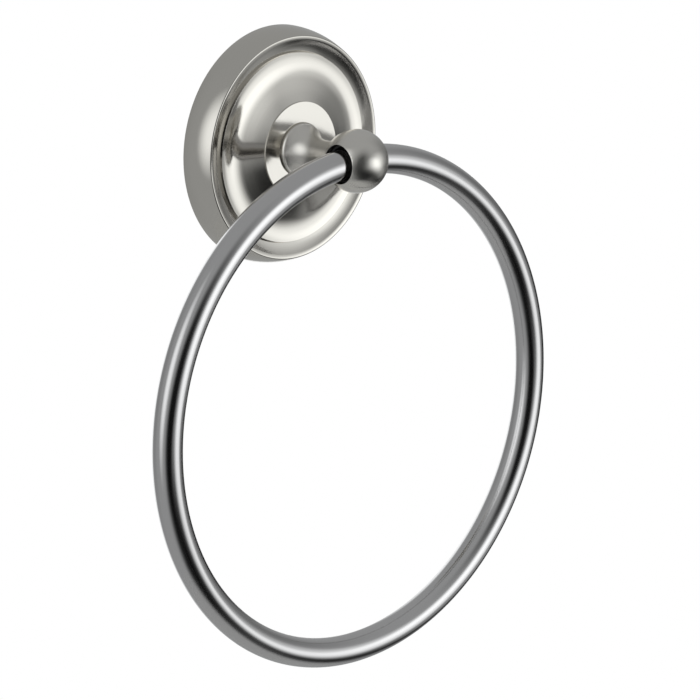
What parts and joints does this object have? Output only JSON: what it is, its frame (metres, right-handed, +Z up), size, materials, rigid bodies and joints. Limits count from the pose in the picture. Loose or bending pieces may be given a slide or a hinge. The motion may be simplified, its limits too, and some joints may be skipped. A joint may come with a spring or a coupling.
{
  "type": "towel ring",
  "caption": "Wall-mounted towel ring: a round dished escutcheon on a hidden bracket, a post with a ball end, and a round bar ring that swings in a bushing in the ball.",
  "frame": {"origin": "on the wall, where the post's axis meets it, at the middle of the bracket's back", "axes": "+Y into the wall, so the ring hangs in front towards -Y; +Z up; +X to the viewer's right"},
  "size_m": [0.161, 0.0461, 0.1929],
  "materials": {
    "satin_nickel": "satin nickel plate over die-cast zinc, polished round the axis",
    "satin_steel": "satin nickel plate on round steel bar",
    "black_nylon": "moulded nylon",
    "zinc_plated_steel": "bright zinc plate",
    "dark_steel": "black oxide"
  },
  "bodies": {
    "wall_post": {"escutcheon": "satin_nickel", "post": "satin_nickel", "ring_bushing": "black_nylon", "wall_bracket": "zinc_plated_steel", "set_screw": "dark_steel", "post_screw": "zinc_plated_steel", "lock_washer": "zinc_plated_steel"},
    "ring": {"ring": "satin_steel"}
  },
  "joints": [
    {"name": "ring_swing", "type": "hinge", "parent": "wall_post", "child": "ring", "pos_m": [0, -0.03651, 0], "axis": [-1, 0, 0], "range_deg": [-12, 192]}
  ]
}
